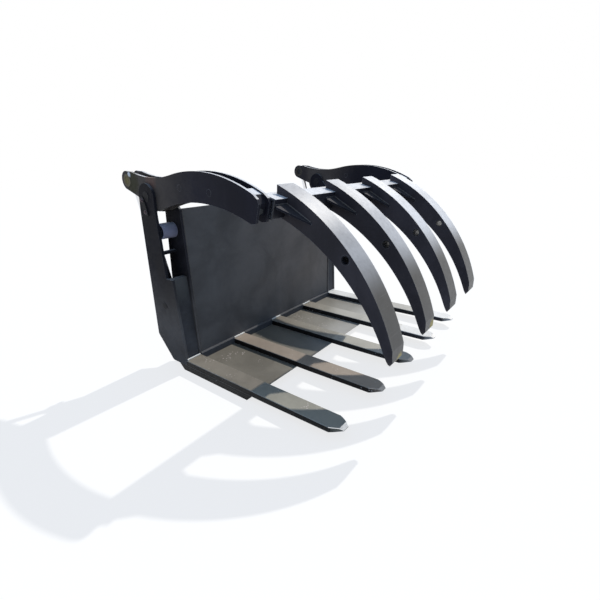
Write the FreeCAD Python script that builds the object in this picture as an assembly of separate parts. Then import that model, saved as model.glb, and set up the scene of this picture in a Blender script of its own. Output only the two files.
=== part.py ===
import FreeCAD, Part
import math
import os
from FreeCAD import Vector

# Log grapple for a loader: five tines on a floor plate, a back plate between two side frames,
# and a clamp of four curved claws on two arms, closed by two hydraulic cylinders.
# Millimetres. X to the object's right, -Y the way the tines point, Z up, Z = 0 on the ground,
# Y = 0 on the front of the back plate.

# Tines and floor
tine_count = 5
tine_pitch = 500.0
tine_width = 140.0
tine_thick = 45.0
tine_reach = 1415.0
tine_tip_length = 85.0
tine_tip_width = 50.0
tine_tip_bevel = 20.0
tine_edge_break = 3.0
floor_reach = 710.0
floor_sheet = 20.0
floor_bar = 30.0
floor_tail = 90.0
lip_depth = 120.0
sill_depth = 85.0
runner_width = 80.0
root_weld_leg = 14.0
toe_strip_thick = 14.0
toe_strip_height = 60.0
toe_strip_bevel = 10.0

# Back plate and side frames
back_height = 1226.0
back_thick = 12.0
outer_plate_thick = 20.0
inner_plate_thick = 16.0
frame_gap = 110.0
frame_lip = 8.0
outer_window_y = 88.0
outer_shoulder_z = 1200.0
outer_rear_low = (325.0, 246.0)
outer_rear_high = (264.0, 1190.0)
inner_rear_low = (250.0, 150.0)
inner_rear_mid = (211.0, 687.0)
inner_waist = (163.0, 1195.0)
side_foot = 172.0
outer_head_radius = 85.0
outer_head_arc = (8.0, 176.0)
outer_corner_round = 24.0
inner_head_radius = 78.0
inner_head_arc = (-60.0, 176.0)
cover_thick = 8.0
cover_top = 745.0
cover_rise = 23.0
cover_fold = 52.0

# Members behind the back plate
cross_member_radius = 54.0
cross_member_wall = 8.0
cross_member_y = 100.0
cross_member_z = 1080.0
tie_bar_radius = 14.0
tie_bar_y = 120.0
tie_bar_z = 925.0
rib_thick = 14.0
rib_depth = 80.0
rib_offsets = (250.0, 740.0)
rear_beam_side = 100.0
rear_beam_wall = 8.0
weld_clearance = 0.3
cut_past = 1.0

# Loader lugs
lug_thick = 25.0
lug_head_radius = 72.0
lug_head_arc = 50.0
lug_shoulder = 90.0
lug_eye_y = 365.0
lower_lug_z = 235.0
lower_lug_rise = 20.0
lower_lug_top = 560.0
lower_lug_offset = 500.0
lower_lug_gap = 90.0
upper_lug_z = 830.0
upper_lug_bottom = 560.0
upper_lug_top = 1010.0
upper_lug_gap = 110.0
loader_pin_radius = 35.0
lug_bush_wall = 12.0

# Clamp pivot
pivot_y = 162.0
pivot_z = 1310.0
pivot_pin_radius = 32.5
pin_clearance = 0.05
hub_wall = 16.0
pin_stand_out = 3.0
keeper_thick = 8.0
keeper_width = 44.0
keeper_bolt_radius = 11.0
keeper_bolt_height = 9.0
keeper_washer_radius = 15.0
keeper_washer_thick = 2.0
keeper_offsets = ((43.0, -24.0), (23.0, -103.0))

# Clamp arms
arm_plate_thick = 18.0
arm_side_clearance = 3.5
ear_y = 408.0
ear_z = 1408.0
ear_radius = 62.0
ear_arc = (108.0, -78.0)
arm_hump_front = (-817.0, 1359.0)
arm_hump_rear = (-115.0, 1448.0)
arm_hump_radius = 1106.0
arm_dip_end = (342.0, 1465.0)
arm_belly_rear = (62.0, 1217.0)
arm_belly_front = (-793.0, 1202.0)
arm_belly_radius = 1151.0
arm_heel_radius = 108.0
arm_heel_arc = (-8.0, -124.0)
arm_nose_high = (-850.0, 1333.0)
arm_nose_mid = (-858.0, 1308.0)
arm_nose_low = (-830.0, 1205.0)
arm_nose_round = 9.0
nose_block_depth = 114.0
nose_block_height = 90.0
nose_block_lift = 34.0
nose_block_drop = 9.0
nose_recess = 24.0
nose_bolt_radius = 17.0
nose_bolt_height = 10.0
nose_bolt_rise = 30.0
pin_end_chamfer = 2.0
spacer_radius = 20.0
spacer_places = ((-190.0, 1372.0), (-466.0, 1352.0))
ear_bush_radius = 42.0
ear_pin_radius = 25.0
ear_eye_radius = 44.0

# Cross tube and claws
tube_side = 110.0
tube_wall = 8.0
tube_tilt = 15.0
tube_y = -810.0
tube_z = 1285.0
claw_count = 4
claw_width = 150.0
claw_side_thick = 12.0
claw_strip_thick = 12.0
claw_root_top = (-800.0, 1395.0)
claw_root_low = (-790.0, 1223.0)
claw_tip_shoulder = (-1580.0, 560.0)
claw_tip_front = (-1583.0, 487.0)
claw_tip_point = (-1560.0, 450.0)
claw_tip_back = (-1545.0, 487.0)
claw_outer_radius = 1339.0
claw_inner_radius = 1278.0
claw_cavity_start = -700.0
claw_cavity_end = -1492.0
claw_hole_y = -1264.0
claw_hole_inset = 44.1
claw_hole_radius = 22.0
claw_sleeve_wall = 6.0
gusset_thick = 12.0
gusset_width = 104.0
gusset_corner = 80.0
gusset_length = 262.0
gusset_slope = 29.0
gusset_z = 1312.0

# Hydraulic cylinders
foot_y = 160.0
foot_z = 520.0
foot_pin_radius = 25.0
foot_eye_radius = 44.0
foot_eye_width = 104.0
ear_eye_width = 62.0
barrel_radius = 45.0
barrel_wall = 7.5
barrel_start = 40.0
barrel_end = 515.0
barrel_cap = 20.0
gland_radius = 48.0
gland_length = 40.0
gland_recess = 25.0
gland_cap_wall = 9.0
rod_radius = 22.5
rod_length = 510.0
piston_length = 44.0
bore_clearance = 0.05
port_radius = 16.0
port_length = 18.0
port_bore = 9.0
port_depth = 28.0
port_places = (95.0, 470.0)
foot_pin_land = 1.0
foot_pin_gap = 0.5

# Worked out from the sizes above
half_width = (tine_count - 1) * tine_pitch / 2 + tine_width / 2
floor_top = floor_bar + floor_sheet
tine_top = floor_top + tine_thick
outer_plate_in = half_width - outer_plate_thick
inner_plate_out = outer_plate_in - frame_gap
inner_plate_in = inner_plate_out - inner_plate_thick
arm_out = outer_plate_in - arm_side_clearance
arm_in = inner_plate_out + arm_side_clearance
arm_mid = (arm_out + arm_in) / 2
pivot = (pivot_y, pivot_z)
ear = (ear_y, ear_z)
foot = (foot_y, foot_z)
hub_radius = pivot_pin_radius + hub_wall
barrel_bore = barrel_radius - barrel_wall
lug_bush_radius = loader_pin_radius + lug_bush_wall
tine_places = [(i - (tine_count - 1) / 2) * tine_pitch for i in range(tine_count)]
claw_places = [(i - (claw_count - 1) / 2) * tine_pitch for i in range(claw_count)]


# Shapes
def point_at(centre, radius, degrees):
    """Point on a circle in the Y-Z plane, 0 degrees towards +Y and 90 up."""
    a = math.radians(degrees)
    return (centre[0] + radius * math.cos(a), centre[1] + radius * math.sin(a))


def above(centre, radius, y):
    """Point of a circle's upper half at a given Y."""
    return (y, centre[1] + math.sqrt(radius ** 2 - (y - centre[0]) ** 2))


def centre_below(start, end, radius):
    """Centre of the circle through two places that bulges upwards between them."""
    half = math.dist(start, end) / 2
    drop = math.sqrt(radius ** 2 - half ** 2)
    middle = ((start[0] + end[0]) / 2, (start[1] + end[1]) / 2)
    side = math.copysign(1.0, end[0] - start[0])
    across = (-(end[1] - start[1]) / half / 2 * side, (end[0] - start[0]) / half / 2 * side)
    return (middle[0] - across[0] * drop, middle[1] - across[1] * drop)


def turned(centre, radius, start, end):
    """Arc step from angle start to angle end, as (middle, end)."""
    return (point_at(centre, radius, (start + end) / 2), point_at(centre, radius, end))


def over(centre, radius, y_start, y_end):
    """Arc step along a circle's upper half between two Y places."""
    return (above(centre, radius, (y_start + y_end) / 2), above(centre, radius, y_end))


def onward(centre, start, end):
    """Arc step that leaves start in line with the circle round centre, and bends the other way."""
    chord = Vector(0, end[0] - start[0], end[1] - start[1])
    spoke = Vector(0, start[0] - centre[0], start[1] - centre[1])
    rise = chord.Length / 2 * math.tan((math.pi / 2 - spoke.getAngle(chord)) / 2)
    inward = chord * (spoke.dot(chord) / chord.dot(chord)) - spoke
    middle = Vector(0, *start) + chord / 2 + inward.normalize() * rise
    return ((middle.y, middle.z), end)


def outline(steps, x):
    """Closed outline at x. A step is a corner (y, z), or ((y, z), (y, z)) for an arc."""
    edges = []
    first = here = Vector(x, *steps[0])
    for step in steps[1:]:
        if isinstance(step[0], tuple):
            middle, there = (Vector(x, *p) for p in step)
            edges.append(Part.Arc(here, middle, there).toShape())
        else:
            there = Vector(x, *step)
            edges.append(Part.makeLine(here, there))
        here = there
    if here.distanceToPoint(first) > 1e-6:
        edges.append(Part.makeLine(here, first))
    return Part.Face(Part.Wire(edges))


def plate(steps, x_low, x_high):
    """Plate cut to an outline in the Y-Z plane, between two X places."""
    return outline(steps, x_low).extrude(Vector(x_high - x_low, 0, 0))


def block(x, y, z):
    """Box between (low, high) pairs."""
    size = (x[1] - x[0], y[1] - y[0], z[1] - z[0])
    return Part.makeBox(*size, Vector(x[0], y[0], z[0]))


def bar(place, radius, x_low, x_high):
    """Round bar along X at a (y, z) place."""
    return Part.makeCylinder(radius, x_high - x_low, Vector(x_low, *place), Vector(1, 0, 0))


def bored(place, radius, x_low, x_high):
    """What a bore takes out of a piece between two X places."""
    return bar(place, radius, x_low - cut_past, x_high + cut_past)


def ring(place, radius, bore, x_low, x_high):
    return bar(place, radius, x_low, x_high).cut(bored(place, bore, x_low, x_high))


def mirrored(shape):
    return shape.mirror(Vector(0, 0, 0), Vector(1, 0, 0))


def both_sides(shape):
    """The piece on the right with its mirror image on the left."""
    return Part.makeCompound([shape, mirrored(shape)])


def chamfered(shape, size, wanted):
    """Chamfer the edges whose two ends satisfy wanted(point)."""
    edges = [e for e in shape.Edges if all(wanted(v.Point) for v in e.Vertexes)]
    return shape.makeChamfer(size, edges)


def rounded(shape, size, corners):
    """Round the edges along X that pass through the given (y, z) corners."""
    picked = []
    for edge in shape.Edges:
        ends = [v.Point for v in edge.Vertexes]
        if len(ends) == 2 and abs(ends[0].x - ends[1].x) > 1:
            for y, z in corners:
                if abs(ends[0].y - y) < 0.01 and abs(ends[0].z - z) < 0.01:
                    picked.append(edge)
    return shape.makeFillet(size, picked)


def save(name, shape):
    shape.exportStep("parts/" + name + ".step")


def save_pair(name, right_shape):
    """The same piece on both sides, each in its own node."""
    save("right_" + name, right_shape)
    save("left_" + name, mirrored(right_shape))


# Floor: a sheet on a frame of bars, both ends cut back below as a sled's are
def floor_plate():
    slope = floor_sheet
    steps = [(-floor_reach, floor_top), (floor_tail, floor_top),
             (floor_tail - slope, floor_bar), (-floor_reach + slope, floor_bar)]
    return plate(steps, -half_width, half_width)


def lip_bar():
    front = -floor_reach + floor_sheet
    steps = [(front, floor_bar), (front + lip_depth, floor_bar),
             (front + lip_depth, 0), (front + floor_bar, 0)]
    return plate(steps, -half_width, half_width)


def rear_sill():
    rear = floor_tail - floor_sheet
    steps = [(rear, floor_bar), (rear - sill_depth - floor_bar, floor_bar),
             (rear - sill_depth - floor_bar, 0), (rear - floor_bar, 0)]
    return plate(steps, -half_width, half_width)


def floor_runners():
    y_low = -floor_reach + floor_sheet + lip_depth
    y_high = floor_tail - floor_sheet - sill_depth - floor_bar
    outermost = half_width - runner_width / 2
    bars = []
    for place in tine_places:
        x = place * outermost / tine_places[-1]
        bars.append(block((x - runner_width / 2, x + runner_width / 2), (y_low, y_high), (0, floor_bar)))
    return Part.makeCompound(bars)


# Tines: flat bars with a blunt point, ground thin along the point
def tine(x):
    half, tip = tine_width / 2, tine_tip_width / 2
    shoulder = -tine_reach + tine_tip_length
    corners = [(-half, 0), (half, 0), (half, shoulder), (tip, -tine_reach),
               (-tip, -tine_reach), (-half, shoulder)]
    wire = Part.makePolygon([Vector(x + px, py, floor_top) for px, py in corners + corners[:1]])
    body = Part.Face(wire).extrude(Vector(0, 0, tine_thick))
    body = chamfered(body, tine_tip_bevel, lambda p: p.z > tine_top - 1 and p.y < shoulder + 1)
    return chamfered(body, tine_edge_break,
                     lambda p: p.z > tine_top - 1 and abs(abs(p.x - x) - half) < 0.1)


def tine_root_welds():
    welds = []
    for x in tine_places:
        wall = -frame_lip if abs(x) + tine_width / 2 > half_width - 1 else 0.0
        steps = [(wall, tine_top), (wall - root_weld_leg, tine_top), (wall, tine_top + root_weld_leg)]
        welds.append(plate(steps, x - tine_width / 2, x + tine_width / 2))
    return Part.makeCompound(welds)


def toe_strips():
    strips = []
    top = floor_top + toe_strip_height
    steps = [(0, floor_top), (-toe_strip_thick, floor_top),
             (-toe_strip_thick, top - toe_strip_bevel), (-toe_strip_thick + toe_strip_bevel, top), (0, top)]
    for x in tine_places[:-1]:
        low = max(x + tine_width / 2, -inner_plate_in)
        high = min(x + tine_pitch - tine_width / 2, inner_plate_in)
        strips.append(plate(steps, low, high))
    return Part.makeCompound(strips)


def back_plate():
    return block((-inner_plate_in, inner_plate_in), (0, back_thick), (floor_top, back_height))


# Side frames, made on the right and mirrored
def outer_side_plate():
    steps = [(-frame_lip, tine_top), (0, tine_top), (0, floor_top), (side_foot, floor_top),
             outer_rear_low, outer_rear_high, point_at(pivot, outer_head_radius, outer_head_arc[0]),
             turned(pivot, outer_head_radius, *outer_head_arc),
             (outer_window_y, outer_shoulder_z), (outer_window_y, cover_top),
             (cover_rise - frame_lip, cover_top)]
    body = plate(steps, outer_plate_in, half_width)
    body = rounded(body, outer_corner_round, [outer_rear_low, (side_foot, floor_top)])
    for place, radius in ((pivot, pivot_pin_radius), (foot, foot_pin_radius)):
        body = body.cut(bored(place, radius + pin_clearance, outer_plate_in, half_width))
    return body


def inner_side_plate():
    steps = [(-frame_lip, tine_top), (0, tine_top), (0, floor_top), (side_foot, floor_top),
             inner_rear_low, inner_rear_mid, inner_waist,
             point_at(pivot, inner_head_radius, inner_head_arc[0]),
             turned(pivot, inner_head_radius, *inner_head_arc), (-frame_lip, back_height)]
    body = plate(steps, inner_plate_in, inner_plate_out)
    member = (cross_member_y, cross_member_z)
    for place, radius in ((pivot, pivot_pin_radius + pin_clearance),
                          (foot, foot_pin_radius + pin_clearance),
                          (member, cross_member_radius + weld_clearance)):
        body = body.cut(bored(place, radius, inner_plate_in, inner_plate_out))
    return body


def front_cover():
    steps = [(0, floor_top), (cover_thick, floor_top), (cover_rise + cover_thick, cover_top - cover_thick),
             (cover_rise + cover_fold, cover_top - cover_thick), (cover_rise + cover_fold, cover_top),
             (cover_rise, cover_top)]
    return plate(steps, inner_plate_out, outer_plate_in)


def upper_cross_member():
    place = (cross_member_y, cross_member_z)
    return ring(place, cross_member_radius, cross_member_radius - cross_member_wall,
                -outer_plate_in, outer_plate_in)


def tie_bars():
    return both_sides(bar((tie_bar_y, tie_bar_z), tie_bar_radius, inner_plate_out, outer_plate_in))


# Behind the back plate
def rear_beam_box(inset=0.0):
    return block((-inner_plate_in, inner_plate_in),
                 (back_thick + inset, back_thick + rear_beam_side - inset),
                 (floor_top + inset, floor_top + rear_beam_side - inset))


def rear_beam():
    return rear_beam_box().cut(rear_beam_box(rear_beam_wall))


def back_ribs():
    member = bar((cross_member_y, cross_member_z), cross_member_radius + weld_clearance,
                 -half_width, half_width)
    foot_z_low = floor_top + rear_beam_side
    steps = [(back_thick, foot_z_low), (back_thick + rib_depth, foot_z_low),
             (back_thick + rib_depth, cross_member_z), (back_thick, cross_member_z)]
    ribs = []
    for x in rib_offsets:
        rib = plate(steps, x - rib_thick / 2, x + rib_thick / 2).cut(member)
        ribs += [rib, mirrored(rib)]
    return Part.makeCompound(ribs)


def lug(z_low, z_high, eye_z, x_low):
    """One lug plate, standing on the back plate and notched over the rear beam."""
    eye = (lug_eye_y, eye_z)
    shoulder = back_thick + lug_shoulder
    steps = [(back_thick, z_low), (shoulder, z_low), point_at(eye, lug_head_radius, -lug_head_arc),
             turned(eye, lug_head_radius, -lug_head_arc, lug_head_arc),
             (shoulder, z_high), (back_thick, z_high)]
    body = plate(steps, x_low, x_low + lug_thick).cut(rear_beam_box())
    return body.cut(bored(eye, lug_bush_radius, x_low, x_low + lug_thick))


def ear_pair(middle, gap):
    """Where the two plates of a lug pair start along X."""
    return (middle - gap / 2 - lug_thick, middle + gap / 2)


def lower_lugs():
    low = floor_top + lower_lug_rise
    return Part.makeCompound([lug(low, lower_lug_top, lower_lug_z, x)
                              for x in ear_pair(lower_lug_offset, lower_lug_gap)])


def upper_lugs():
    return Part.makeCompound([lug(upper_lug_bottom, upper_lug_top, upper_lug_z, x)
                              for x in ear_pair(0, upper_lug_gap)])


def lug_bushes():
    rings = []
    for middle, gap, z in ((lower_lug_offset, lower_lug_gap, lower_lug_z),
                           (-lower_lug_offset, lower_lug_gap, lower_lug_z),
                           (0, upper_lug_gap, upper_lug_z)):
        for x in ear_pair(middle, gap):
            rings.append(ring((lug_eye_y, z), lug_bush_radius, loader_pin_radius, x, x + lug_thick))
    return Part.makeCompound(rings)


# Pivot pins and what keeps them
def pivot_pin():
    return bar(pivot, pivot_pin_radius, inner_plate_in - pin_stand_out, half_width + pin_stand_out)


def keeper():
    """Flat keeper across the pin's edge, with its corners cut."""
    places = [(pivot_y + dy, pivot_z + dz) for dy, dz in keeper_offsets]
    half = keeper_width / 2
    (y1, z1), (y2, z2) = places
    steps = [(y1 + half, z1 + half), (y1 - half / 2, z1 + half), (y2 - half, z2),
             (y2 - half, z2 - half), (y2 + half / 2, z2 - half), (y1 + half, z1)]
    body = plate(steps, half_width, half_width + keeper_thick)
    return body.cut(bored(pivot, pivot_pin_radius + weld_clearance, half_width, half_width + keeper_thick))


def keeper_bolts():
    heads = []
    for dy, dz in keeper_offsets:
        heads.append(hex_head((pivot_y + dy, pivot_z + dz), half_width + keeper_thick))
    return Part.makeCompound(heads)


def hex_head(place, x):
    corners = [point_at(place, keeper_bolt_radius, 60 * i + 30) for i in range(6)]
    head = plate(corners, x, x + keeper_bolt_height)
    washer = bar(place, keeper_washer_radius, x, x + keeper_washer_thick)
    return washer.fuse(head)


def foot_pin_ends():
    """The foot pin's two ends, held in the two side plates."""
    outer = bar(foot, foot_pin_radius, outer_plate_in - foot_pin_land, half_width + pin_stand_out)
    inner = bar(foot, foot_pin_radius, inner_plate_in - pin_stand_out, inner_plate_out + foot_pin_land)
    return both_sides(Part.makeCompound([outer, inner]))


# Clamp arms
def hump_centre():
    return centre_below(arm_hump_front, arm_hump_rear, arm_hump_radius)


def arm_steps():
    """Outline of an arm plate, from the top of the hump round the ear, the heel and the nose."""
    belly = centre_below(arm_belly_front, arm_belly_rear, arm_belly_radius)
    return [arm_hump_rear, onward(hump_centre(), arm_hump_rear, arm_dip_end),
            point_at(ear, ear_radius, ear_arc[0]), turned(ear, ear_radius, *ear_arc),
            point_at(pivot, arm_heel_radius, arm_heel_arc[0]), turned(pivot, arm_heel_radius, *arm_heel_arc),
            arm_belly_rear, over(belly, arm_belly_radius, arm_belly_rear[0], arm_belly_front[0]),
            arm_nose_low, arm_nose_mid, arm_nose_high, arm_hump_front,
            over(hump_centre(), arm_hump_radius, arm_hump_front[0], arm_hump_rear[0])]


def arm_plate(x_low):
    body = plate(arm_steps(), x_low, x_low + arm_plate_thick)
    body = rounded(body, arm_nose_round, [arm_nose_low, arm_nose_high])
    holes = [(pivot, hub_radius), (ear, ear_bush_radius)] + [(p, spacer_radius) for p in spacer_places]
    for place, radius in holes:
        body = body.cut(bored(place, radius, x_low, x_low + arm_plate_thick))
    return body


def arm_hub():
    return ring(pivot, hub_radius, pivot_pin_radius + pin_clearance, arm_in, arm_out)


def nose_front():
    """Low and high corner of the nose block's front face, set back from the arm's own nose."""
    low = (arm_nose_low[0] + nose_recess, arm_nose_low[1] + nose_block_lift)
    high = (arm_nose_mid[0] + nose_recess, arm_nose_mid[1])
    return low, high


def nose_block():
    """Block that closes the arm's front between its plates and carries the tube's end load."""
    rear = arm_nose_mid[0] + nose_block_depth
    top_radius = arm_hump_radius - nose_block_drop
    top_rear = above(hump_centre(), top_radius, rear)
    low, high = nose_front()
    steps = [top_rear, (rear, top_rear[1] - nose_block_height), (arm_belly_front[0] + nose_recess, low[1]),
             low, high, (arm_nose_high[0] + nose_recess, arm_nose_high[1] - nose_block_drop),
             above(hump_centre(), top_radius, arm_hump_front[0] + nose_block_drop)]
    return plate(steps, arm_in + arm_plate_thick, arm_out - arm_plate_thick)


def nose_bolt():
    """Round bolt head on the front of the nose block."""
    low, high = (Vector(arm_mid, *p) for p in nose_front())
    up = (high - low).normalize()
    out = Vector(0, -up.z, up.y)
    centre = low + up * nose_bolt_rise
    head = Part.makeCylinder(nose_bolt_radius, nose_bolt_height, centre, out)
    rim = [e for e in head.Edges if e.Closed and (e.CenterOfMass - centre).dot(out) > nose_bolt_height / 2]
    return head.makeChamfer(pin_end_chamfer, rim)


def arm_spacers():
    return both_sides(Part.makeCompound([bar(p, spacer_radius, arm_in, arm_out) for p in spacer_places]))


def ear_bushes():
    bore = ear_pin_radius
    rings = [ring(ear, ear_bush_radius, bore, x, x + arm_plate_thick)
             for x in (arm_in, arm_out - arm_plate_thick)]
    return both_sides(Part.makeCompound(rings))


def ear_pin():
    pin = bar(ear, ear_pin_radius, arm_in, arm_out)
    rims = [e for e in pin.Edges if e.Closed]
    return pin.makeChamfer(pin_end_chamfer, rims)


# Cross tube: a square tube, turned with the arms
def tube_box(side, half_length):
    box = block((-half_length, half_length), (-side / 2, side / 2), (-side / 2, side / 2))
    box.rotate(Vector(0, 0, 0), Vector(1, 0, 0), tube_tilt)
    box.translate(Vector(0, tube_y, tube_z))
    return box


def cross_tube():
    tube = tube_box(tube_side, arm_in)
    return tube.cut(tube_box(tube_side - 2 * tube_wall, arm_in + cut_past))


# Claws: two side plates and a bent strip that runs down the outside and back up the inside
def claw_centres():
    """Centres of the claw's outer and inner curve."""
    return (centre_below(claw_root_top, claw_tip_shoulder, claw_outer_radius),
            centre_below(claw_root_low, claw_tip_back, claw_inner_radius))


def claw_steps():
    outer, inner = claw_centres()
    return [claw_root_top, over(outer, claw_outer_radius, claw_root_top[0], claw_tip_shoulder[0]),
            claw_tip_front, claw_tip_point,
            claw_tip_back, over(inner, claw_inner_radius, claw_tip_back[0], claw_root_low[0])]


def claw_hole():
    """Place of the cross hole, a set way in from the outer curve."""
    outer, inner = claw_centres()
    return above(outer, claw_outer_radius - claw_hole_inset, claw_hole_y)


def claw_cavity_steps():
    outer, inner = claw_centres()
    outer_radius = claw_outer_radius - claw_strip_thick
    inner_radius = claw_inner_radius + claw_strip_thick
    return [above(outer, outer_radius, claw_cavity_start),
            over(outer, outer_radius, claw_cavity_start, claw_cavity_end),
            above(inner, inner_radius, claw_cavity_end),
            over(inner, inner_radius, claw_cavity_end, claw_cavity_start)]


def claw(x):
    half, skin = claw_width / 2, claw_side_thick
    tube = tube_box(tube_side, half_width)
    sleeve = bored(claw_hole(), claw_hole_radius + claw_sleeve_wall, x - half, x + half)
    sides = [plate(claw_steps(), low, low + skin).cut(tube).cut(sleeve)
             for low in (x - half, x + half - skin)]
    strip = plate(claw_steps(), x - half + skin, x + half - skin)
    strip = strip.cut(plate(claw_cavity_steps(), x - half, x + half)).cut(tube)
    return Part.makeCompound(sides + [strip])


def claw_sleeves():
    half = claw_width / 2
    return Part.makeCompound([ring(claw_hole(), claw_hole_radius + claw_sleeve_wall, claw_hole_radius,
                                   x - half, x + half) for x in claw_places])


def gusset(x, way):
    """Flat triangle between the tube's front and a claw's side; way is -1 or 1 along X."""
    a = math.radians(gusset_slope)
    along = Vector(0, -math.cos(a), -math.sin(a))
    normal = Vector(0, -math.sin(a), math.cos(a))
    start = Vector(x + way * claw_width / 2, tube_y, gusset_z)
    wide = start + Vector(way * gusset_width, 0, 0)
    corners = [start, wide, wide + along * gusset_corner, start + along * gusset_length]
    wire = Part.makePolygon(corners + corners[:1])
    sheet = Part.Face(wire).extrude(normal * gusset_thick)
    return sheet.cut(tube_box(tube_side, half_width))


def claw_gussets():
    pieces = []
    for x in claw_places:
        for way in (-1, 1):
            body = gusset(x, way)
            front = max(body.Solids, key=lambda s: -s.CenterOfMass.y)
            pieces.append(front)
    return Part.makeCompound(pieces)


# Cylinders, built upright at the origin and laid from the foot pin to the ear pin
def laid(shape, start, towards):
    dy, dz = towards[0] - start[0], towards[1] - start[1]
    shape = shape.copy()
    shape.rotate(Vector(0, 0, 0), Vector(1, 0, 0), -math.degrees(math.atan2(dy, dz)))
    shape.translate(Vector(arm_mid, *start))
    return shape


def upright(radius, low, high):
    return Part.makeCylinder(radius, high - low, Vector(0, 0, low))


def eye(radius, bore, width):
    """An eye at the origin, as its round body and its bore."""
    return bar((0, 0), radius, -width / 2, width / 2), bored((0, 0), bore, -width / 2, width / 2)


def barrel():
    solid, hole = eye(foot_eye_radius, foot_pin_radius, foot_eye_width)
    body = solid.fuse(upright(barrel_radius, barrel_start, barrel_end))
    out = Vector(0, 1, 0)
    for s in port_places:
        body = body.fuse(Part.makeCylinder(port_radius, barrel_radius + port_length, Vector(0, 0, s), out))
    body = body.cut(upright(barrel_bore, barrel_start + barrel_cap, barrel_end + cut_past)).cut(hole)
    for s in port_places:
        mouth = Vector(0, barrel_radius + port_length + cut_past, s)
        body = body.cut(Part.makeCylinder(port_bore, port_depth + cut_past, mouth, -out))
    return laid(body, foot, ear)


def gland():
    top = upright(gland_radius, barrel_end, barrel_end + gland_length - gland_recess)
    sleeve = upright(barrel_bore - bore_clearance, barrel_end - gland_recess, barrel_end)
    cap = upright(rod_radius + gland_cap_wall, barrel_end, barrel_end + gland_length)
    bore = upright(rod_radius + pin_clearance, 0, barrel_end + gland_length + cut_past)
    return laid(top.fuse(sleeve).fuse(cap).cut(bore), foot, ear)


def foot_pin():
    """The stretch of the foot pin that lies in the cylinder's own eye."""
    reach = frame_gap / 2 - foot_pin_land - foot_pin_gap
    return bar(foot, foot_pin_radius, arm_mid - reach, arm_mid + reach)


def rod():
    solid, hole = eye(ear_eye_radius, ear_pin_radius + pin_clearance, ear_eye_width)
    return laid(solid.fuse(upright(rod_radius, 0, rod_length)).cut(hole), ear, foot)


def piston():
    body = upright(barrel_bore - bore_clearance, rod_length, rod_length + piston_length)
    return laid(body, ear, foot)


# Write every piece
os.makedirs("parts", exist_ok=True)

save("floor_plate", floor_plate())
save("lip_bar", lip_bar())
save("rear_sill", rear_sill())
save("floor_runners", floor_runners())
for number, x in enumerate(tine_places, 1):
    save("tine_%d" % number, tine(x))
save("tine_root_welds", tine_root_welds())
save("toe_strips", toe_strips())
save("back_plate", back_plate())
save_pair("outer_side_plate", outer_side_plate())
save_pair("inner_side_plate", inner_side_plate())
save_pair("front_cover", front_cover())
save("upper_cross_member", upper_cross_member())
save("tie_bars", tie_bars())
save("rear_beam", rear_beam())
save("back_ribs", back_ribs())
save_pair("lower_lugs", lower_lugs())
save("upper_lugs", upper_lugs())
save("lug_bushes", lug_bushes())
save("pivot_pins", both_sides(pivot_pin()))
save("pin_keepers", both_sides(keeper()))
save("keeper_bolts", both_sides(keeper_bolts()))
save("foot_pin_ends", foot_pin_ends())

save_pair("arm_outer_plate", arm_plate(arm_out - arm_plate_thick))
save_pair("arm_inner_plate", arm_plate(arm_in))
save("arm_hubs", both_sides(arm_hub()))
save("arm_nose_blocks", both_sides(nose_block()))
save("nose_bolts", both_sides(nose_bolt()))
save("arm_spacers", arm_spacers())
save("ear_bushes", ear_bushes())
save("ear_pins", both_sides(ear_pin()))
save("cross_tube", cross_tube())
for number, x in enumerate(claw_places, 1):
    save("claw_%d" % number, claw(x))
save("claw_sleeves", claw_sleeves())
save("claw_gussets", claw_gussets())

save_pair("cylinder_barrel", barrel())
save_pair("cylinder_gland", gland())
save_pair("foot_pin", foot_pin())
save_pair("cylinder_rod", rod())
save_pair("cylinder_piston", piston())
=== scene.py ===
import math

import bmesh
import bpy
from mathutils import Matrix, Vector


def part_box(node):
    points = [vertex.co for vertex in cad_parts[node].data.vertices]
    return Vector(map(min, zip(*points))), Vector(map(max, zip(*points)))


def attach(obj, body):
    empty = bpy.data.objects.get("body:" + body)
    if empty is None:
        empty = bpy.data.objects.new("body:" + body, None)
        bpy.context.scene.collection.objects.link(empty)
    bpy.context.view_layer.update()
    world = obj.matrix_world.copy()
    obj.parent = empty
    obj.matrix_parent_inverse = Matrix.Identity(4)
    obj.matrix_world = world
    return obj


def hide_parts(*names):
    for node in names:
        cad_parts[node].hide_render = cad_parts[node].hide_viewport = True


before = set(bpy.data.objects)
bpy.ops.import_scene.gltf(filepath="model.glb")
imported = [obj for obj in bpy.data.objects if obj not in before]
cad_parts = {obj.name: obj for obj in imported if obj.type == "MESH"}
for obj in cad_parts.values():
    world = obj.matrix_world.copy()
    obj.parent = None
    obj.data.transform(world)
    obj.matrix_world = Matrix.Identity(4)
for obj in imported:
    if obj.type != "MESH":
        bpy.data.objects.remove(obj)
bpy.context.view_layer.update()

# Log grapple: its finishes, worn points and weld beads, on the CAD model's pieces.
# Places and sizes are in metres in the part's frame, angles in degrees and colours in linear light.

# The photograph's view, with its lens in millimetres and its frame in pixels.
CAMERA_PLACE = (-2.515, -2.264, 1.515)
CAMERA_YAW = 52.101
CAMERA_PITCH = 24.062
CAMERA_ROLL = -0.986
CAMERA_LENS = 22.064
CAMERA_SENSOR = 36.0
CAMERA_NEAR = 0.05
PHOTO_SIDE = 600
PHOTO_AXIS_ROW = 325

# Light and ground.
WHITE = (1.0, 1.0, 1.0)
SUN_TRAVEL = (-0.91, 0.034, -1.0)
SUN_STRENGTH = 2.9
SUN_COLOUR = (1.0, 0.95, 0.87)
SUN_ANGLE = 0.9
SKY_COLOUR = (0.47, 0.68, 1.0)
SKY_STRENGTH = 0.50
FLOOR_HALF = 30.0
FLOOR_GLOW = 0.76
FLOOR_SHADE = (0.26, 0.26, 0.26)
FLOOR_BOUNCE = (0.42, 0.42, 0.42)

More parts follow.
